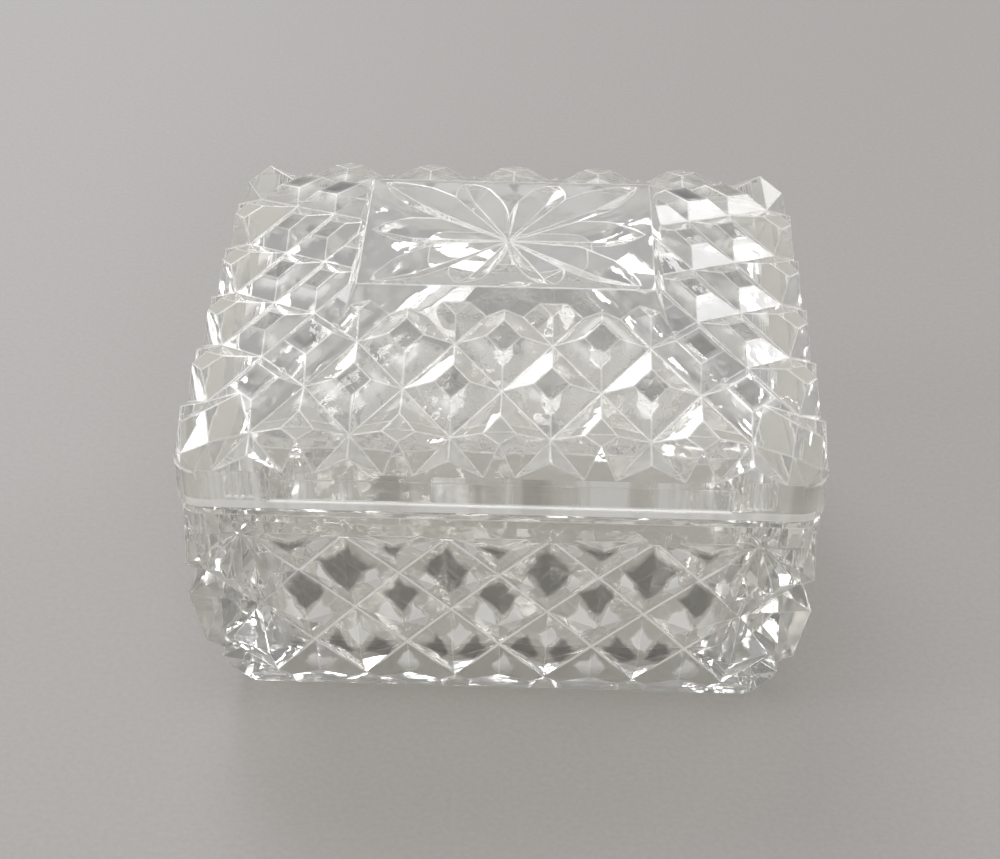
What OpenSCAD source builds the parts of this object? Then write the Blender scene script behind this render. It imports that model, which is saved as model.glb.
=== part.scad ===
// Pressed and cut glass casket box: a tapering base covered with pointed
// diamonds, and a hipped lid with flat-topped diamonds round a flower panel.
// Millimetres, +Z up. The origin is the middle of the face the box stands on.

/* [Lid] */
// Width of the lid, left to right
lid_w = 115; // [100:1:135]
// Depth of the lid, front to back
lid_d = 98; // [85:0.5:115]
// Height of the shoulder crossings above the lid's seat
shoulder_h = 14.8; // [13.5:0.1:17]
// Rise of the panel above the shoulder crossings
panel_rise = 15; // [14:0.1:17]
// Angle of the roof above the horizontal
roof_angle = 23.3; // [20:0.1:26]
// How far the corner diamonds' centres lie inside the lid's outline
corner_inset = 5; // [4:0.1:6]
// Thickness of the lid's glass under the cut pattern
lid_wall = 5; // [4:0.1:6]

/* [Roof diamonds] */
// Height of a roof diamond's flat above its corners
roof_cut = 1.9; // [1.2:0.1:2.6]
// Half diagonal of a roof diamond's flat
roof_flat = 3.2; // [2:0.1:4.5]
// Half diagonal of the flats on the four hips
hip_flat = 4.4; // [3:0.1:5.5]
// Half diagonal of the lobes along the panel's rim
lobe_flat = 4.8; // [3.5:0.1:5.5]
// Height of the shoulder diamonds above their corners
shoulder_cut = 3.8; // [2.5:0.1:4.5]

/* [Lid wall] */
// Height of the plain band's upper edge above the lid's seat
band_top = 9.5; // [8.5:0.1:10]
// Height of the lip under the band
lip_h = 3.4; // [2.6:0.1:4.2]
// Depth of the plain band behind the lip and the corner blocks
band_recess = 0.6; // [0.3:0.1:1]
// Length of a corner block, from its diamond's middle along the wall
corner_run = 12.2; // [10:0.1:14]
// Height of the bevel along the lid's bottom edge
edge_h = 1.9; // [1:0.1:2.3]
// Width of the bevel along the lid's bottom edge
edge_in = 1.6; // [0.8:0.1:2.2]
// Half the span of an arrow cut under a shoulder crossing
arrow_span = 6; // [4:0.1:7]
// Depth of the flutes on the corner blocks
flute_depth = 0.45; // [0.2:0.05:0.8]

/* [Panel] */
// Width of the panel's top
panel_w = 54; // [48:0.5:58]
// Depth of the panel's top
panel_d = 37.5; // [33:0.5:41]
// Slant of the panel's rim, seen from above
panel_slant = 2.6; // [1:0.1:4]
// Depth of the petals at the flower's centre
petal_depth = 2; // [1:0.1:2.6]

/* [Base] */
// Width of the base across the top row of crossings
base_w = 112.4; // [98:0.2:132]
// Depth of the base across the top row of crossings
base_d = 94; // [82:0.5:112]
// Height of the base
base_h = 48.6; // [46:0.1:52]
// Height of the plain band above the top row of crossings
rim_band = 5.5; // [4.5:0.1:7]
// How far the plain band stands out from the crossings
band_out = 0.9; // [0.3:0.1:1.4]
// Height of the bevel along the base's upper edge
rim_edge_h = 0.6; // [0.3:0.1:1]
// Width of the bevel along the base's upper edge
rim_edge_in = 1.2; // [0.6:0.1:1.8]
// Height of one row of half diamonds
row_h = 9.8; // [9.2:0.1:10.2]
// Inward lean of the base's walls
base_lean = 6.8; // [4:0.1:8]
// How far the diamonds' points stand out
point_out = 2.6; // [1.8:0.1:3.4]
// How far the points lie below the middle of their diamonds
point_drop = 1.7; // [0.8:0.1:2.4]
// How far the corner diamonds stand out of both walls
corner_out = 2.8; // [1.6:0.1:3.4]
// Radius of the base's upright corners
base_corner_r = 4; // [2.5:0.1:6]
// Height of the bevel above the foot
foot_bevel_h = 11; // [8:0.5:13]
// How far the foot lies inside the bevel's top
foot_bevel_in = 3.1; // [2:0.1:5]
// Height of the plain plinth under the lowest diamonds
plinth_h = 2.6; // [1:0.1:4]
// Depth of the fans' leaves at their centres
fan_depth = 1.8; // [1:0.1:2.4]
// How far the flat plates under the fans stand out
plate_out = 1.2; // [0.6:0.1:2]
// Size of the flat plates as a share of their diamonds
plate_share = 0.5; // [0.35:0.05:0.65]

/* [Hollow and fit] */
// Thickness of the base's wall behind the crossings
base_wall = 6; // [5:0.1:7]
// Thickness of the base's floor
floor_t = 7; // [5:0.1:9]
// Depth of the lid's locating rim inside the base
rim_drop = 2.5; // [1.5:0.1:3.5]
// Thickness of the lid's locating rim
rim_t = 2.6; // [2:0.1:3.5]
// Clearance between the locating rim and the base
rim_gap = 0.5; // [0.3:0.05:1]

/* [Hidden] */

// Diamonds along the long sides and the short sides
cells_long = 6;
cells_short = 5;
// Thickness of a slice that only spans a hull
hair = 0.01;
// Depth of the diamonds' blocks behind their corners
tile_t = 3;
// How far a roof diamond runs on under its neighbours, as a share of its bevel
roof_run = 0.3;
// How deep the lid's cuts reach below its crossings
cut_room = 1.5;
// Depth of the arrows, from the crossings down to their tips
arrow_drop = 4.7;
// Depth of a crossing's notch on the face of the lid's wall
notch_drop = 1.2;
// Where the shoulder's blocks end inside the lid: distance in, and height
root_in = 4;
root_z = 2;
glass = [0.86, 0.89, 0.9, 0.6];

// The solid stretched over a set of points.
module block(points) {
    hull()
        polyhedron(points, [for (i = [0 : len(points) - 3]) [i, i + 1, i + 2]]);
}

// A rectangle with rounded corners, centred.
module round_rect(w, d, r) {
    hull()
        for (x = [-1, 1], y = [-1, 1])
            translate([x * (w / 2 - r), y * (d / 2 - r)])
                circle(r, $fn = 36);
}

// The same, as a thin slice at height z.
module slice(w, d, r, z) {
    translate([0, 0, z])
        linear_extrude(hair)
            round_rect(w, d, r);
}

// ---------------------------------------------------------------- lid lattice
pitch_x = (lid_w - 2 * corner_inset) / cells_long;
pitch_y = (lid_d - 2 * corner_inset) / cells_short;
slope = tan(roof_angle);
half_x = pitch_x / 2;
half_y = pitch_y / 2;
node_x = cells_long * half_x;
node_y = cells_short * half_y;
wall_x = lid_w / 2;
wall_y = lid_d / 2;
// Height of the arrows' tips
arrow_z = shoulder_h - arrow_drop;

// Height of the crossings' surface over a point in plan.
function crossing_z(x, y) =
    shoulder_h + slope * min(node_x - abs(x), node_y - abs(y));

// A corner of a roof diamond's flat, and the crossing beyond it drawn out so
// that neighbouring diamonds run into each other below the groove.
function flat_point(c, d, f) =
    let (x = c[0] + d[0] * f, y = c[1] + d[1] * f)
    [x, y, crossing_z(x, y) + roof_cut];
function crossing_point(c, d) =
    let (x = c[0] + d[0] * half_x, y = c[1] + d[1] * half_y)
    [x, y, crossing_z(x, y)];
function run_on(from, to, k) = to + (to - from) * k;

compass = [[1, 0], [0, 1], [-1, 0], [0, -1]];

// A flat-topped diamond of the roof, centred at c in plan.
module roof_diamond(c, f) {
    flats = [for (d = compass) flat_point(c, d, f)];
    ends = [for (i = [0 : 3]) run_on(flats[i], crossing_point(c, compass[i]), roof_run)];
    block(concat(flats, ends, [for (e = ends) e - [0, 0, tile_t]]));
}

// Rings of roof diamonds inside the shoulder. Ring 1 is next to the shoulder.
module roof_ring(ring) {
    nx = cells_long - ring;
    ny = cells_short - ring;
    for (i = [-nx : 2 : nx], s = [-1, 1])
        roof_diamond(
            [i * half_x, s * ny * half_y],
            abs(i) == nx ? hip_flat : ring == 3 ? lobe_flat : roof_flat
        );
    for (j = [-ny + 2 : 2 : ny - 2], s = [-1, 1])
        roof_diamond([s * nx * half_x, j * half_y], ring == 3 ? lobe_flat : roof_flat);
}

// One shoulder diamond, drawn for the front and turned to the other sides. p is
// the pitch along the side, n the distance of the crossings from the middle, w
// the wall's distance and q the pitch inward.
module shoulder_diamond(at, p, n, w, q) {
    h = p / 2;
    out = w - n;
    tip = h - arrow_span;
    flat_half = p / 6;
    // the tilted flat: its top, its low end and, between them, its two sides
    top_in = 0.1 * q;
    low_out = 0.8 * out;
    widest = 0.63;
    top = [at, -n + top_in, shoulder_h + shoulder_cut];
    low = [at, -n - low_out, shoulder_h + shoulder_cut / 2];
    middle = top + (low - top) * widest;
    block([
        top, low, middle - [flat_half, 0, 0], middle + [flat_half, 0, 0],
        [at - h, -n, shoulder_h], [at + h, -n, shoulder_h],
        [at, -n + q / 2, shoulder_h + slope * q / 2],
        [at - tip, -w, arrow_z], [at + tip, -w, arrow_z],
        [at - tip, -w, band_top - 1], [at + tip, -w, band_top - 1],
        [at - h, -n + root_in, root_z], [at + h, -n + root_in, root_z],
        [at, -n + (q + root_in) / 2, 2 * root_z]
    ]);
}

// The piece of wall under one shoulder crossing, with its arrow-shaped top.
module arrow(at, n, w) {
    a = arrow_span;
    block([
        [at, -n, shoulder_h], [at, -w, shoulder_h - notch_drop],
        [at - a, -w, arrow_z], [at + a, -w, arrow_z],
        [at - a, -n + 2, shoulder_h - tile_t], [at + a, -n + 2, shoulder_h - tile_t],
        [at - a, -w, band_top - 1], [at + a, -w, band_top - 1],
        [at - a, -n + root_in, root_z], [at + a, -n + root_in, root_z]
    ]);
}

// One side of the shoulder: count diamonds between the two corners.
module shoulder_side(count, p, n, w, q) {
    for (i = [-(count - 1) : 2 : count - 1])
        shoulder_diamond(i * p / 2, p, n, w, q);
    for (i = [-count : 2 : count])
        arrow(i * p / 2, n, w);
}

module shoulder() {
    for (turn = [0, 180])
        rotate(turn) shoulder_side(cells_long - 1, pitch_x, node_y, wall_y, pitch_y);
    for (turn = [90, 270])
        rotate(turn) shoulder_side(cells_short - 1, pitch_y, node_x, wall_x, pitch_x);
}

// A corner of the lid: its diamond faces along the diagonal.
module lid_corner() {
    c = [node_x, node_y];
    k = corner_inset;
    z = shoulder_h;
    foot = arrow_z - 2;
    // the diagonal flat: how far its sides and its lower corners lie from c
    flat_side = 2.2;
    flat_out = 0.72 * k;
    flat_low = 0.62 * k;
    // the wall's corner below it: where it starts to turn, and how far it reaches
    turn = 0.1 * k;
    reach = 0.68 * k;
    block([
        // crossings on the two sides, and the one on the hip
        [c[0] - half_x, c[1], z], [c[0], c[1] - half_y, z],
        [c[0] - half_x, c[1] - half_y, z + slope * half_y],
        // diagonal flat
        [c[0] - 1.2, c[1] - 1.2, z + shoulder_cut],
        [c[0] + flat_out, c[1] - flat_side, z + 0.4],
        [c[0] - flat_side, c[1] + flat_out, z + 0.4],
        [c[0] + flat_low, c[1] + flat_low, z - 2.6],
        // the wall's rounded corner below it
        [c[0] - half_x + arrow_span, wall_y, arrow_z],
        [wall_x, c[1] - half_y + arrow_span, arrow_z],
        [c[0] + turn, wall_y, arrow_z], [wall_x, c[1] + turn, arrow_z],
        [c[0] + reach, c[1] + reach, arrow_z - 0.8],
        [c[0] - half_x + arrow_span, wall_y, foot],
        [wall_x, c[1] - half_y + arrow_span, foot],
        [c[0] + turn, wall_y, foot], [wall_x, c[1] + turn, foot],
        [c[0] + reach, c[1] + reach, foot],
        [c[0] - half_x, c[1] - half_y, foot]
    ]);
}

// The upright wall under the shoulder, with the bevel along its bottom edge.
module lid_wall_block() {
    hull() {
        translate([0, 0, edge_h])
            linear_extrude(band_top - edge_h)
                round_rect(lid_w, lid_d, corner_inset);
        linear_extrude(hair)
            round_rect(lid_w - 2 * edge_in, lid_d - 2 * edge_in, corner_inset);
    }
}

// The plain band sunk between the corner blocks, above the lip.
module band_cuts() {
    ramp = 0.5;
    for (side = [0, 90, 180, 270]) {
        along = side % 180 == 0;
        run = (along ? node_x : node_y) - corner_run;
        rotate(side)
            translate([0, -(along ? wall_y : wall_x), lip_h])
                linear_extrude(band_top + 0.4 - lip_h)
                    polygon([
                        [-run - ramp, -1], [run + ramp, -1], [run + ramp, 0],
                        [run, band_recess], [-run, band_recess], [-run - ramp, 0]
                    ]);
    }
}

// The solid that carries the diamonds, just under their crossings.
module lid_core() {
    below_panel = 4;
    inward = (panel_rise - below_panel) / slope;
    hull() {
        translate([0, 0, band_top])
            linear_extrude(hair)
                round_rect(2 * node_x + 2, 2 * node_y + 2, 3);
        translate([0, 0, shoulder_h - cut_room])
            linear_extrude(hair)
                square([2 * node_x, 2 * node_y], center = true);
        translate([0, 0, shoulder_h + panel_rise - below_panel - cut_room])
            linear_extrude(hair)
                square([2 * (node_x - inward), 2 * (node_y - inward)], center = true);
    }
}

module panel_slab() {
    top = shoulder_h + panel_rise;
    rim_h = 6;
    hull() {
        translate([0, 0, top - hair])
            linear_extrude(hair)
                square([panel_w, panel_d], center = true);
        translate([0, 0, top - rim_h])
            linear_extrude(hair)
                square([panel_w + 2 * panel_slant, panel_d + 2 * panel_slant], center = true);
    }
}

// ------------------------------------------------------------- flower carving
// A leaf-shaped V cut from the centre out to [reach, 0], w wide, with its
// widest part at the share "belly" of its length, and d deep at the centre.
module leaf_cut(reach, w, d, belly, blunt, steps = 10) {
    up = 0.6;
    grow = (d + up) / d;
    rim = [
        for (t = [0 : 1 / steps : 1.001])
            let (
                s = t < belly ? t / belly : (1 - t) / (1 - belly),
                half = w / 2 * pow(sin(90 * s), t < belly ? 1 : blunt)
            )
            [t * reach, half]
    ];
    block(concat(
        [for (q = rim) [q[0], q[1] * grow, up]],
        [for (q = rim) [q[0], -q[1] * grow, up]],
        [[0, 0, -d], [belly * reach, 0, -d * 0.95], [reach * 0.93, 0, -d * 0.25]]
    ));
}

// A small pit where the leaves of a flower or fan meet.
module leaf_hub(d) {
    translate([0, 0, -d - 0.15])
        cylinder(h = d + 0.75, r1 = 0.3, r2 = 0.55, $fn = 18);
}

// The flower: ten leaves round the panel's middle.
module flower_cuts() {
    reach_x = panel_w / 2 - 0.4;
    reach_y = panel_d / 2 - 0.6;
    tip_x = panel_w / 2 - 1.6;
    inner_x = panel_w * 0.175;
    translate([0, 0, shoulder_h + panel_rise]) {
        leaf_hub(petal_depth);
        for (turn = [0, 180])
            rotate(turn) leaf_cut(reach_x, panel_d * 0.24, petal_depth, 0.68, 0.9);
        for (sx = [-1, 1], sy = [-1, 1]) {
            rotate(atan2(sy * reach_y, sx * tip_x))
                leaf_cut(norm([tip_x, reach_y]), panel_d * 0.22, petal_depth, 0.66, 0.9);
            rotate(atan2(sy * reach_y, sx * inner_x))
                leaf_cut(norm([inner_x, reach_y]), panel_d * 0.2, petal_depth, 0.72, 0.5);
        }
    }
}

// Narrow upright flutes on the corner blocks, beside the last crossings.
module flutes() {
    step = 1.25;
    low = lip_h + 1;
    for (side = [0, 90, 180, 270], s = [-1, 1], i = [0 : 3]) {
        along = side % 180 == 0;
        first = along ? node_x - half_x : node_y - half_y;
        rotate(side)
            translate([s * (first + i * step), -(along ? wall_y : wall_x), low])
                rotate(45)
                    translate([-flute_depth, -flute_depth, 0])
                        cube([2 * flute_depth, 2 * flute_depth, band_top + 0.6 - low]);
    }
}

// The hollow under the lid follows the roof at the glass's thickness.
module lid_hollow() {
    inner_w = base_w - 2 * base_wall - 2 * rim_gap - 2 * rim_t;
    inner_d = base_d - 2 * base_wall - 2 * rim_gap - 2 * rim_t;
    ceiling = shoulder_h + panel_rise - lid_wall - cut_room;
    spring = shoulder_h - lid_wall - cut_room;
    // the hollow's slopes are a little steeper than the roof
    inward = 0.9 * (ceiling - spring) / slope;
    hull() {
        slice(inner_w, inner_d, 6, -rim_drop - 1);
        slice(inner_w, inner_d, 6, spring);
        slice(
            max(inner_w - 2 * inward, 20),
            max(inner_d - 2 * inward, 14),
            4,
            ceiling
        );
    }
}

module locating_rim() {
    w = base_w - 2 * base_wall - 2 * rim_gap;
    d = base_d - 2 * base_wall - 2 * rim_gap;
    translate([0, 0, -rim_drop])
        linear_extrude(rim_drop + 2)
            round_rect(w, d, 6 + rim_t);
}

module lid() {
    color(glass)
        translate([0, 0, base_h])
            difference() {
                union() {
                    lid_core();
                    difference() {
                        lid_wall_block();
                        band_cuts();
                    }
                    locating_rim();
                    shoulder();
                    for (sx = [-1, 1], sy = [-1, 1])
                        scale([sx, sy, 1]) lid_corner();
                    for (ring = [1 : 3])
                        roof_ring(ring);
                    panel_slab();
                }
                flower_cuts();
                flutes();
                lid_hollow();
            }
}

// --------------------------------------------------------------- base lattice
row1_z = base_h - rim_band;
half_w = base_w / 2;
half_d = base_d / 2;

function row_z(k) = row1_z - k * row_h;
function lean_in(z) = (row1_z - z) * tan(base_lean);

// How far a block runs on beyond its ends, as a share of its size.
run = 0.12;
// The ridges of neighbouring blocks miss each other by this at a crossing, so
// that no four of them meet in one point.
miss = 0.07;

// A block that stands out at its tips, runs on a little beyond its ends and
// keeps its full thickness there, so that it overlaps its neighbours.
module tile(tips, ends, into) {
    block(concat(tips, ends, [for (e = ends) e + into]));
}

// A point on a wall drawn for the front: s is counted in diamonds from the
// middle of count diamonds, and out is measured from the crossings.
function front_point(s, z, out, count, half, depth) =
    [s * 2 / count * (half - lean_in(z)), -(depth - lean_in(z) + out), z];

// A diamond of the wall. With a share of 0 it has a point, otherwise a flat
// that takes up that share of it. It ends short of the base's corner.
module base_diamond(s, z, count, half, depth, out, share) {
    drop = share == 0 ? point_drop : 0;
    middle = front_point(s, z - drop, out, count, half, depth);
    ends = [
        front_point(s, z + row_h, 0, count, half, depth) + [miss, 0, 0],
        front_point(s - 0.5, z + miss, 0, count, half, depth),
        front_point(s, z - row_h, 0, count, half, depth) - [miss, 0, 0],
        front_point(s + 0.5, z - miss, 0, count, half, depth)
    ];
    lift = [0, -out, 0];
    tips = share == 0
        ? [middle]
        : [for (e = ends) middle + (e + lift - middle) * share];
    grow = [
        run, s - 0.5 <= -count / 2 ? -run / 3 : run,
        run, s + 0.5 >= count / 2 ? -run / 3 : run
    ];
    far = [for (i = [0 : 3]) run_on(middle, ends[i], grow[i])];
    tile(tips, far, [0, tile_t, 0]);
}

module base_side(count, half, depth) {
    for (k = [0 : 4]) {
        edge = (count - 2 + k % 2) / 2;
        for (s = [-edge : 1 : edge]) {
            plate = k == 1 && abs(s) == edge;
            base_diamond(
                s, row_z(k), count, half, depth,
                plate ? plate_out : point_out,
                plate ? plate_share : 0
            );
        }
    }
}

// A corner diamond, which lies on the diagonal, from one height to another and
// widest at row k. It bulges between two tips, each a height and a distance out.
module base_corner(top_z, k, low_z, tips) {
    z = row_z(k);
    function at(h, out) = [half_w - lean_in(h) + out, half_d - lean_in(h) + out, h];
    wide = half_w - lean_in(z);
    deep = half_d - lean_in(z);
    front = [(cells_long - 1) / cells_long * wide, deep, z + 2 * miss];
    side = [wide, (cells_short - 1) / cells_short * deep, z + 2 * miss];
    aside = [miss, -miss, 0];
    middle = at(z, corner_out);
    ends = [at(top_z, 0) + aside, front, at(low_z, 0) - aside, side];
    tile(
        [for (t = tips) at(t[0], t[1])],
        [for (e = ends) run_on(middle, e, run)],
        [-tile_t, -tile_t, 0]
    );
}

module upper_corner() {
    base_corner(
        row_z(-0.3), 0, row_z(1),
        [[row_z(0), corner_out * 0.1], [row_z(0.75), corner_out * 0.6]]
    );
}

module lower_corner() {
    base_corner(
        row_z(1), 2, row_z(3.3),
        [[row_z(1.5), corner_out], [row_z(2.85), corner_out * 0.9]]
    );
}

module foot_corner() {
    base_corner(row_z(3.2), 4, 0, [[row_z(3.5), corner_out * 0.4]]);
}

// The solid behind the diamonds.
module base_core() {
    under = 1;
    low = lean_in(0);
    hull() {
        slice(base_w - 2 * under, base_d - 2 * under, base_corner_r, row1_z);
        slice(base_w - 2 * (low + under), base_d - 2 * (low + under), base_corner_r, 0);
    }
}

// How far the bevel above the foot stands out at height z, measured from the
// top row of crossings.
function bevel_out(z) =
    point_out * 0.6 - lean_in(foot_bevel_h) - foot_bevel_in * (1 - z / foot_bevel_h);

// The plain strip under the lowest diamonds, a hair behind the bevel.
module plinth() {
    behind = 0.1;
    low = 2 * bevel_out(0) - behind;
    high = 2 * bevel_out(plinth_h) - behind;
    top = high - 5;
    hull() {
        slice(base_w + low, base_d + low, base_corner_r, 0);
        slice(base_w + high, base_d + high, base_corner_r, plinth_h);
        slice(base_w + top, base_d + top, base_corner_r, plinth_h + 1);
    }
}

// The diamonds are kept inside this: it cuts the bevel above the foot and
// slopes the top row back to the plain band.
module base_trim() {
    top = 2 * (point_out + 1);
    foot = 2 * bevel_out(0);
    bevel = 2 * bevel_out(foot_bevel_h);
    hull() {
        slice(base_w + foot, base_d + foot, base_corner_r, 0);
        slice(base_w + bevel, base_d + bevel, base_corner_r, foot_bevel_h);
        slice(base_w + top, base_d + top, 2, foot_bevel_h + row_h);
        slice(base_w + top, base_d + top, 2, row1_z - 1);
        slice(base_w + band_out, base_d + band_out, base_corner_r, row1_z + 1);
    }
}

// The plain band round the top, bevelled at its upper edge.
module rim_block() {
    w = base_w + 2 * band_out;
    d = base_d + 2 * band_out;
    hull() {
        slice(w, d, base_corner_r, row1_z);
        slice(w, d, base_corner_r, base_h - rim_edge_h);
        slice(w - 2 * rim_edge_in, d - 2 * rim_edge_in, base_corner_r, base_h - hair);
    }
}

// A fan of leaves cut at the top crossing next to each corner. Each leaf has an
// angle from the direction towards the middle, a length and a width.
fan_leaves = [
    [-76, 14.5, 4.2], [-107, 13, 4.2], [-130, 9.9, 3], [-153, 6.8, 2.4], [-38, 8.3, 3],
    [28, 5.3, 2.2], [62, 5.9, 2.2], [94, 5.8, 2.2], [125, 6.1, 2.2]
];

// How many steps a fan leaf's outline has.
fan_steps = 5;

module fan_cuts(s, count, half, depth) {
    translate(front_point(s, row1_z - 1, 0.9, count, half, depth))
        rotate([90 + base_lean, 0, 0]) {
            leaf_hub(fan_depth);
            for (leaf = fan_leaves)
                rotate(s > 0 ? 180 - leaf[0] : leaf[0])
                    leaf_cut(leaf[1], leaf[2], fan_depth * min(1, leaf[1] / 9), 0.6, 0.9, fan_steps);
        }
}

module base_hollow() {
    w = base_w - 2 * base_wall;
    d = base_d - 2 * base_wall;
    low = lean_in(floor_t);
    mouth_r = base_corner_r + rim_t + rim_gap;
    hull() {
        slice(w, d, mouth_r, base_h + 1);
        slice(w, d, mouth_r, row1_z);
        slice(w - 2 * low, d - 2 * low, 8, floor_t + 3);
        slice(w - 2 * low - 5, d - 2 * low - 5, 7, floor_t);
    }
}

module base() {
    color(glass)
        difference() {
            union() {
                intersection() {
                    union() {
                        base_core();
                        for (turn = [0, 180])
                            rotate(turn) base_side(cells_long, half_w, half_d);
                        for (turn = [90, 270])
                            rotate(turn) base_side(cells_short, half_d, half_w);
                        for (sx = [-1, 1], sy = [-1, 1])
                            scale([sx, sy, 1]) {
                                lower_corner();
                                foot_corner();
                            }
                        plinth();
                    }
                    base_trim();
                }
                intersection() {
                    for (sx = [-1, 1], sy = [-1, 1])
                        scale([sx, sy, 1]) upper_corner();
                    translate([-base_w, -base_d, 0])
                        cube([2 * base_w, 2 * base_d, base_h - rim_edge_h]);
                }
                rim_block();
            }
            for (turn = [0, 180], e = [-1, 1])
                rotate(turn) fan_cuts(e * (cells_long - 1) / 2, cells_long, half_w, half_d);
            for (turn = [90, 270], e = [-1, 1])
                rotate(turn) fan_cuts(e * (cells_short - 1) / 2, cells_short, half_d, half_w);
            base_hollow();
        }
}

base();
lid();
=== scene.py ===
"""Blender scene for the cut glass casket box. Metres, in the CAD's frame."""

import math

import bpy
from mathutils import Matrix, Vector

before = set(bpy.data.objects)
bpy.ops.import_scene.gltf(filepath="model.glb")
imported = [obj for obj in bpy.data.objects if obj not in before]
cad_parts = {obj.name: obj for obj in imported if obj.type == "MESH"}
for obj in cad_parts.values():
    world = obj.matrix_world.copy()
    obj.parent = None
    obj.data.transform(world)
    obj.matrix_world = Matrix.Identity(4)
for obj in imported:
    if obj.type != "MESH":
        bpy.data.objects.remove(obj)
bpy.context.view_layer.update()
scene = bpy.context.scene
scene.view_settings.view_transform = "Standard"

# ------------------------------------------------------------------- camera
# From the lattice's crossings: how far the camera stands round and above the
# box, the point at the middle of the picture, and the distance from it.
YAW = 0.032
RISE = 0.656
ROLL = 0.005
TARGET = Vector((-0.0001, -0.0414, 0.06345))
DISTANCE = 0.3209

back = Vector((math.sin(YAW) * math.cos(RISE), -math.cos(YAW) * math.cos(RISE), math.sin(RISE)))
level = Vector((math.cos(YAW), math.sin(YAW), 0))
upright = back.cross(level)
right = math.cos(ROLL) * level + math.sin(ROLL) * upright
up = -math.sin(ROLL) * level + math.cos(ROLL) * upright

camera = bpy.data.objects.new("camera", bpy.data.cameras.new("camera"))
scene.collection.objects.link(camera)
camera.data.sensor_width = 36
camera.data.lens = 66.1
camera.data.clip_start = 0.01
turn = Matrix((right, up, back)).transposed()
camera.matrix_world = Matrix.Translation(TARGET + DISTANCE * back) @ turn.to_4x4()
scene.camera = camera


# ---------------------------------------------------------------- materials
# What the clear glass passes
CLEAR_TINT = (0.99, 0.985, 0.965, 1)
# What lamps and the floor's light keep on their way through it
DIM_TINT = (0.84, 0.835, 0.815, 1)
# What its patches of painted shade pass: darker glass painted in place of the dark seen through
# the cuts
PAINTED_SHADE_TINT = (0.22, 0.22, 0.22, 1)


class Nodes:
    """The node tree of a material or a world, emptied, with short calls to add to it."""

    def __init__(self, owner):
        owner.use_nodes = True
        self.tree = owner.node_tree
        self.tree.nodes.clear()

    def add(self, kind, inputs=None, **settings):
        node = self.tree.nodes.new(kind)
        for key, value in settings.items():
            setattr(node, key, value)
        for key, value in (inputs or {}).items():
            self.put(node, key, value)
        return node

    def put(self, node, key, value):
        if isinstance(value, bpy.types.NodeSocket):
            self.tree.links.new(value, node.inputs[key])
        else:
            node.inputs[key].default_value = value

    def math(self, operation, a, b=0.0, c=0.0):
        inputs = {0: a, 1: b, 2: c}
        return self.add("ShaderNodeMath", inputs, operation=operation).outputs[0]

    def times(self, *factors):
        product = factors[0]
        for factor in factors[1:]:
            product = self.math("MULTIPLY", product, factor)
        return product

    def total(self, *terms):
        result = terms[0]
        for term in terms[1:]:
            result = self.math("ADD", result, term)
        return result

    def span(self, value, low, high):
        """1 where the value lies between the two, else 0."""
        over = self.math("GREATER_THAN", value, low)
        return self.times(over, self.math("LESS_THAN", value, high))

    def noise(self, place, scale, detail=2.0):
        node = self.add(
            "ShaderNodeTexNoise", {"Vector": place, "Scale": scale, "Detail": detail}
        )
        return node.outputs["Fac"]

    def between(self, value, low, high, out_low, out_high):
        node = self.add(
            "ShaderNodeMapRange",
            {0: value, 1: low, 2: high, 3: out_low, 4: out_high},
        )
        return node.outputs[0]


# The base's lattice, as in the CAD: the half width and half depth across the top
# row of crossings, that row's height, the height of a row, and the walls' lean.
HALF_W = 0.0562
HALF_D = 0.047
ROW_TOP = 0.0431
ROW_H = 0.0098
LEAN = math.tan(math.radians(6.8))
# Diamonds along the front and along the side
CELLS_LONG = 6
CELLS_SHORT = 5
# How far inside the crossings the outer face still counts, for the V cuts
CUT_IN = 0.0022
# How strongly the noise bends the patches, across and down
BEND = (0.3, 0.5)
# The patches of painted shade and painted highlight in a diamond of the top, middle and low
# row: how far from its middle, across and down, and half the size, across and down, all counted
# in diamonds
PAINTED_SHADE_PATCHES = ((0.0, -0.2, 0.27, 0.62), (0.0, -0.5, 0.2, 0.42), (0.21, 0.08, 0.17, 0.42))
PAINTED_HIGHLIGHT_PATCHES = ((0.25, 0.15, 0.1, 0.34), (0.15, 0.15, 0.15, 0.5), (0.03, -0.38, 0.15, 0.36))
# The lid's: the crossings' outer lines, half a pitch each way, the height of the
# outer crossings, the roof's slope, its walls, and half the panel's size.
NODE_X = 0.0525
NODE_Y = 0.044
HALF_PITCH_X = 0.00875
HALF_PITCH_Y = 0.0088
CROSSING_Z = 0.0634
SLOPE = math.tan(math.radians(23.3))
WALL_X = 0.0575
WALL_Y = 0.049
PANEL_X = 0.03
PANEL_Y = 0.0215
# What counts as its wall, measured in from the outside
WALL_DEPTH = 0.001
# The row of arrows along the eaves has no flats
EAVES = 0.0035
LIP_LOW = 0.0505
LIP_TOP = 0.0522
BAND_TOP = 0.0585


def blob(n, across, down, patch):
    """1 inside a soft pointed patch of a diamond and 0 outside it."""
    at_across, at_down, size_across, size_down = patch
    x = n.math("DIVIDE", n.math("SUBTRACT", across, at_across), size_across)
    y = n.math("DIVIDE", n.math("SUBTRACT", down, at_down), size_down)
    far = n.math("ADD", n.math("ABSOLUTE", x), n.math("ABSOLUTE", y))
    return n.between(far, 0.8, 1.1, 1.0, 0.0)


def off_middle(n, a, b):
    """The diamond's numbers at a point, and its place from the middle along both cuts."""
    cell_a = n.math("ROUND", a)
    cell_b = n.math("ROUND", b)
    return cell_a, cell_b, n.math("SUBTRACT", a, cell_a), n.math("SUBTRACT", b, cell_b)


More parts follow.
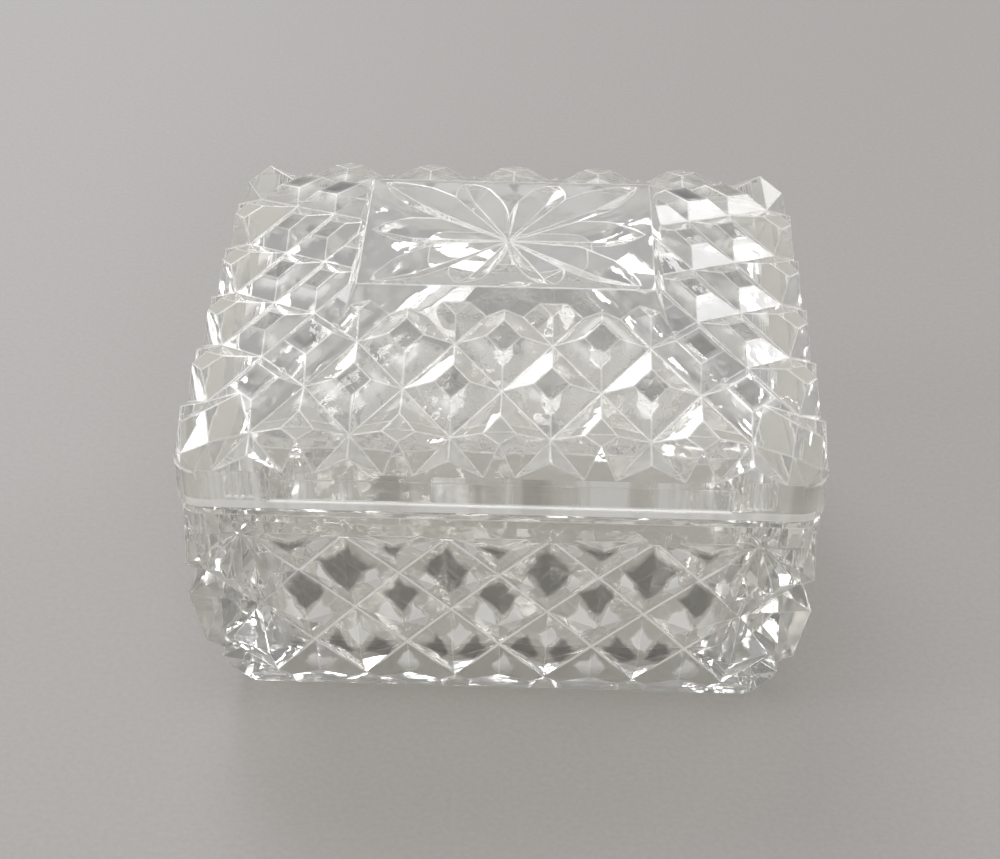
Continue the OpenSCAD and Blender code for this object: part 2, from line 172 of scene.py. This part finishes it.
def lattice_painted_light(n, place):
    """Painted light on the base's lattice: pale lines along the grooves, and patches of painted
    shade and painted highlight in the diamonds, in place of what the cuts refract.
    """
    split = n.add("ShaderNodeSeparateXYZ", {0: place}).outputs
    normal = n.add("ShaderNodeNewGeometry").outputs["True Normal"]
    facing = n.add("ShaderNodeSeparateXYZ", {0: normal}).outputs
    below_top = n.math("SUBTRACT", ROW_TOP, split["Z"])
    lean = n.times(below_top, LEAN)
    wide = n.math("SUBTRACT", HALF_W, lean)
    deep = n.math("SUBTRACT", HALF_D, lean)
    # 1 on the two short sides
    short = n.math(
        "GREATER_THAN",
        n.math("ABSOLUTE", facing["X"]),
        n.math("ABSOLUTE", facing["Y"]),
    )
    # s counts diamonds along the wall, and v counts rows down from the top one
    s_long = n.times(n.math("DIVIDE", split["X"], wide), CELLS_LONG / 2)
    s_short = n.times(n.math("DIVIDE", split["Y"], deep), CELLS_SHORT / 2)
    moved = n.total(s_short, 0.5)
    s = n.total(s_long, n.times(short, n.math("SUBTRACT", moved, s_long)))
    v = n.math("DIVIDE", below_top, ROW_H)
    half_v = n.times(v, 0.5)
    cell_a, cell_b, da, db = off_middle(n, n.total(s, half_v), n.math("SUBTRACT", s, half_v))
    row = n.math("SUBTRACT", cell_a, cell_b)
    edge = n.math("MAXIMUM", n.math("ABSOLUTE", da), n.math("ABSOLUTE", db))
    # painted highlight: pale lines along the grooves between the diamonds
    painted_groove_lines = n.between(edge, 0.465, 0.485, 0.0, 1.0)
    # the outer face only, between the band and the foot, and clear of the fans
    out = n.math(
        "MAXIMUM",
        n.math("SUBTRACT", n.math("ABSOLUTE", split["X"]), wide),
        n.math("SUBTRACT", n.math("ABSOLUTE", split["Y"]), deep),
    )
    outer = n.between(out, -CUT_IN, -CUT_IN + 0.0007, 0.0, 1.0)
    under_band = n.between(v, 0.0, 0.1, 0.0, 1.0)
    over_foot = n.between(v, 3.5, 3.8, 1.0, 0.0)
    end_long = n.between(n.math("ABSOLUTE", s_long), 2.1, 2.4, 1.0, 0.0)
    end_short = n.between(n.math("ABSOLUTE", s_short), 1.6, 1.9, 1.0, 0.0)
    ends = n.total(end_long, n.times(short, n.math("SUBTRACT", end_short, end_long)))
    area = n.times(outer, under_band, over_foot, ends)
    # where a point lies in its diamond, bent a little so that no two look alike
    bend_s = n.times(n.math("SUBTRACT", n.noise(place, 130.0), 0.5), BEND[0])
    bend_v = n.times(n.math("SUBTRACT", n.noise(place, 170.0), 0.5), BEND[1])
    across = n.total(n.times(n.total(da, db), 0.5), bend_s)
    down = n.total(n.math("SUBTRACT", da, db), bend_v)
    aside = n.math("ABSOLUTE", across)
    top = n.math("LESS_THAN", row, 1.5)
    middle = n.math("COMPARE", row, 2.0, 0.5)
    low = n.math("GREATER_THAN", row, 2.5)
    # painted shade and painted highlights: dark and pale patches in each diamond, in place of
    # what the cuts refract
    painted_shade = n.total(
        n.times(top, blob(n, across, down, PAINTED_SHADE_PATCHES[0])),
        n.times(middle, blob(n, across, down, PAINTED_SHADE_PATCHES[1])),
        n.times(low, blob(n, aside, down, PAINTED_SHADE_PATCHES[2])),
    )
    painted_highlight = n.total(
        n.times(top, blob(n, aside, down, PAINTED_HIGHLIGHT_PATCHES[0])),
        n.times(middle, blob(n, aside, down, PAINTED_HIGHLIGHT_PATCHES[1])),
        n.times(low, blob(n, across, down, PAINTED_HIGHLIGHT_PATCHES[2])),
    )
    return n.times(painted_groove_lines, area), n.times(painted_shade, area), n.times(painted_highlight, area)


def roof_painted_light(n, place):
    """Painted light on the lid: painted shade on the flats and in vertical lines on the band,
    and painted highlights on the cut sides, the band and the lip line.
    """
    split = n.add("ShaderNodeSeparateXYZ", {0: place}).outputs
    x = n.math("ABSOLUTE", split["X"])
    y = n.math("ABSOLUTE", split["Y"])
    z = split["Z"]
    i = n.math("DIVIDE", x, HALF_PITCH_X)
    j = n.math("DIVIDE", y, HALF_PITCH_Y)
    _, cell_b, da, db = off_middle(
        n,
        n.total(n.times(n.total(i, j), 0.5), 0.5),
        n.total(n.times(n.math("SUBTRACT", i, j), 0.5), 0.5),
    )
    off = n.math("MAXIMUM", n.math("ABSOLUTE", da), n.math("ABSOLUTE", db))
    # the slopes' outer face, between the eaves and the panel
    inward = n.math("MINIMUM", n.math("SUBTRACT", NODE_X, x), n.math("SUBTRACT", NODE_Y, y))
    crossing = n.total(n.times(inward, SLOPE), CROSSING_Z)
    outer = n.between(n.math("SUBTRACT", z, crossing), -0.001, -0.0002, 0.0, 1.0)
    beside = n.math(
        "MAXIMUM", n.math("GREATER_THAN", x, PANEL_X), n.math("GREATER_THAN", y, PANEL_Y)
    )
    roof = n.times(outer, n.math("GREATER_THAN", inward, EAVES), beside)
    # painted shade: the flats are painted dark, and those on the hips the darkest
    hip = n.math("COMPARE", cell_b, 1.0, 0.1)
    painted_shade_strength = n.total(n.times(hip, 0.2), 0.7)
    uneven = n.between(n.noise(place, 150.0), 0.3, 0.65, 0.3, 1.0)
    flat = n.times(n.between(off, 0.15, 0.19, 1.0, 0.0), painted_shade_strength, uneven)
    # painted highlight: the sides of each cut are painted pale towards its flat, in patches, in
    # place of the light they gather
    painted_side_highlight = n.times(n.between(off, 0.2, 0.24, 0.0, 1.0), n.between(off, 0.3, 0.42, 1.0, 0.0))
    patchy = n.between(n.noise(place, 110.0), 0.45, 0.6, 0.0, 0.6)
    # the painted streaks run straight up the wall: painted shade on the band, and painted
    # highlights on the band and the lip line, in place of refracted lines
    tall = n.add("ShaderNodeVectorMath", {0: place, 1: (1, 1, 0.04)}, operation="MULTIPLY")
    painted_streaks = n.noise(tall.outputs[0], 150.0, 3.0)
    wall = n.math(
        "MAXIMUM",
        n.math("GREATER_THAN", x, WALL_X - WALL_DEPTH),
        n.math("GREATER_THAN", y, WALL_Y - WALL_DEPTH),
    )
    band = n.times(wall, n.span(z, LIP_TOP, BAND_TOP))
    lip = n.times(wall, n.span(z, LIP_LOW, LIP_TOP))
    painted_shade = n.total(n.times(flat, roof), n.times(band, n.between(painted_streaks, 0.5, 0.62, 0.0, 0.5)))
    painted_highlight = n.total(
        n.times(painted_side_highlight, patchy, roof),
        n.times(lip, n.between(painted_streaks, 0.4, 0.6, 1.0, 0.5)),
        n.times(band, n.between(painted_streaks, 0.36, 0.46, 0.7, 0.0)),
    )
    return 0.0, painted_shade, painted_highlight


def glass_material(name, edge_radius, edge_clearness, body_clearness, late_tint, painted_light):
    """Clear pressed glass: soft fire-polished edges, faint waviness and fine wear, with painted
    shade and painted highlights from the function given.

    The clearness is the share of light let through, at the edges and elsewhere, made lower at
    the edges and in the pale lines and patches as a painted highlight.
    The late tint is what stays of light that is let out after four reflections.
    """
    material = bpy.data.materials.new(name)
    n = Nodes(material)
    place = n.add("ShaderNodeTexCoord").outputs["Object"]
    # fire polishing rounds the edges between the cuts
    rounded = n.add("ShaderNodeBevel", {"Radius": edge_radius}, samples=4)
    # the mould leaves the faces slightly wavy
    slow = n.add(
        "ShaderNodeBump",
        {
            "Strength": 0.2,
            "Distance": 0.0012,
            "Height": n.noise(place, 90.0),
            "Normal": rounded.outputs["Normal"],
        },
    )
    bump = n.add(
        "ShaderNodeBump",
        {
            "Strength": 0.1,
            "Distance": 0.0003,
            "Height": n.noise(place, 420.0),
            "Normal": slow.outputs["Normal"],
        },
    )
    # painted highlight: the rounded edges let less light through and show as pale lines, in
    # place of the light they catch
    flat = n.add("ShaderNodeNewGeometry").outputs["True Normal"]
    facing = n.add(
        "ShaderNodeVectorMath", {0: rounded.outputs["Normal"], 1: flat}, operation="DOT_PRODUCT"
    )
    clearness = n.between(facing.outputs["Value"], 0.97, 0.995, edge_clearness, body_clearness)
    # painted light: pale lines and patches of painted highlight let less light through, and
    # patches of painted shade darken the glass's colour, in place of what the cuts refract from
    # above and below
    painted_groove_lines, painted_shade, painted_highlight = painted_light(n, place)
    painted_pale = n.math("MAXIMUM", painted_groove_lines, n.times(painted_highlight, 0.8))
    clearness = n.math("SUBTRACT", clearness, n.times(painted_pale, 0.75))
    # painted shade: the glass turns dark where the patches of painted shade lie
    tint = n.add("ShaderNodeMix", {0: painted_shade, 6: CLEAR_TINT, 7: PAINTED_SHADE_TINT}, data_type="RGBA")
    # handling dulls it a little in patches
    haze = n.between(n.noise(place, 60.0, 5.0), 0.5, 0.8, 0.008, 0.045)
    glass = n.add(
        "ShaderNodeBsdfPrincipled",
        {
            "Base Color": tint.outputs[2],
            "Roughness": haze,
            "IOR": 1.52,
            "Specular IOR Level": 0.85,
            "Transmission Weight": clearness,
            "Normal": bump.outputs["Normal"],
        },
    )
    # lamps and the floor's own light pass through it, and are dimmed by it
    path = n.add("ShaderNodeLightPath")
    lit = n.math("MAXIMUM", path.outputs["Is Shadow Ray"], path.outputs["Is Diffuse Ray"])
    dimmed = n.add("ShaderNodeBsdfTransparent", {"Color": DIM_TINT})
    body = n.add(
        "ShaderNodeMixShader", {0: lit, 1: glass.outputs["BSDF"], 2: dimmed.outputs["BSDF"]}
    )
    late = n.math("GREATER_THAN", path.outputs["Glossy Depth"], 3.5)
    clear = n.add("ShaderNodeBsdfTransparent", {"Color": late_tint})
    shown = n.add(
        "ShaderNodeMixShader", {0: late, 1: body.outputs["Shader"], 2: clear.outputs["BSDF"]}
    )
    n.add("ShaderNodeOutputMaterial", {"Surface": shown.outputs["Shader"]})
    return material


LOOKS = {
    "base": glass_material(
        "base_glass",
        edge_radius=0.0003,
        edge_clearness=0.6,
        body_clearness=0.93,
        late_tint=(0.85, 0.85, 0.83, 1),
        painted_light=lattice_painted_light,
    ),
    "lid": glass_material(
        "lid_glass",
        edge_radius=0.0005,
        edge_clearness=0.35,
        body_clearness=0.88,
        late_tint=(0.97, 0.965, 0.95, 1),
        painted_light=roof_painted_light,
    ),
}
for node, material in LOOKS.items():
    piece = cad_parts[node]
    for slot in piece.material_slots:
        slot.material = material
    if not piece.material_slots:
        piece.data.materials.append(material)

# -------------------------------------------------------------------- floor
FLOOR_COLOR = (0.3, 0.287, 0.276)
# Wide enough that its edge is never seen, and just under the box
FLOOR_SIZE = 40
FLOOR_Z = -0.0002

stone = bpy.data.materials.new("floor")
n = Nodes(stone)
place = n.add("ShaderNodeTexCoord").outputs["Object"]
speckle = n.between(n.noise(place, 900.0, 3.0), 0.3, 0.7, 0.96, 1.04)
tone = n.add("ShaderNodeVectorMath", {0: FLOOR_COLOR, "Scale": speckle}, operation="SCALE")
surface = n.add("ShaderNodeBsdfPrincipled", {"Base Color": tone.outputs[0], "Roughness": 0.6})
n.add("ShaderNodeOutputMaterial", {"Surface": surface.outputs["BSDF"]})
bpy.ops.mesh.primitive_plane_add(size=FLOOR_SIZE, location=(0, 0, FLOOR_Z))
floor = bpy.context.active_object
floor.name = "floor"
floor.data.materials.append(stone)

# ------------------------------------------------------------------- lights
# The point that the lamps face
AIM = Vector((0, 0, 0.04))
# name: (place, width, height, power)
LAMPS = {
    "window": ((-0.5, 1.1, 0.9), 0.55, 0.5, 7),
    "back_right": ((0.95, 0.75, 0.6), 0.5, 0.5, 4.5),
    "ceiling": ((0.1, -0.1, 1.5), 0.4, 0.3, 4),
    "left": ((-1.2, -0.25, 0.6), 0.35, 0.35, 6.5),
    "front": ((0.4, -1.2, 0.7), 0.35, 0.3, 5.5),
}


def lamp(name, kind, power, toward):
    """A lamp at the origin whose light comes from the direction given."""
    data = bpy.data.lights.new(name, kind)
    data.energy = power
    lamp_object = bpy.data.objects.new(name, data)
    scene.collection.objects.link(lamp_object)
    lamp_object.rotation_euler = toward.to_track_quat("Z", "Y").to_euler()
    return lamp_object


for name, (place, width, height, power) in LAMPS.items():
    box = lamp(name, "AREA", power, Vector(place) - AIM)
    box.location = place
    box.data.shape = "RECTANGLE"
    box.data.size = width
    box.data.size_y = height

# soft daylight from behind, the same all over the floor
daylight = lamp("daylight", "SUN", 0.8, Vector((-0.3, 0.9, 1.2)))
daylight.data.angle = math.radians(25)

# the room: bright above, darker towards the floor
scene.world = bpy.data.worlds.new("room")
n = Nodes(scene.world)
sky = n.add("ShaderNodeTexCoord").outputs["Generated"]
sky_z = n.add("ShaderNodeSeparateXYZ", {0: sky}).outputs["Z"]
light = n.add(
    "ShaderNodeBackground",
    {"Color": (0.97, 0.98, 1.0, 1), "Strength": n.between(sky_z, 0.05, 0.7, 0.15, 0.42)},
)
n.add("ShaderNodeOutputWorld", {"Surface": light.outputs["Background"]})
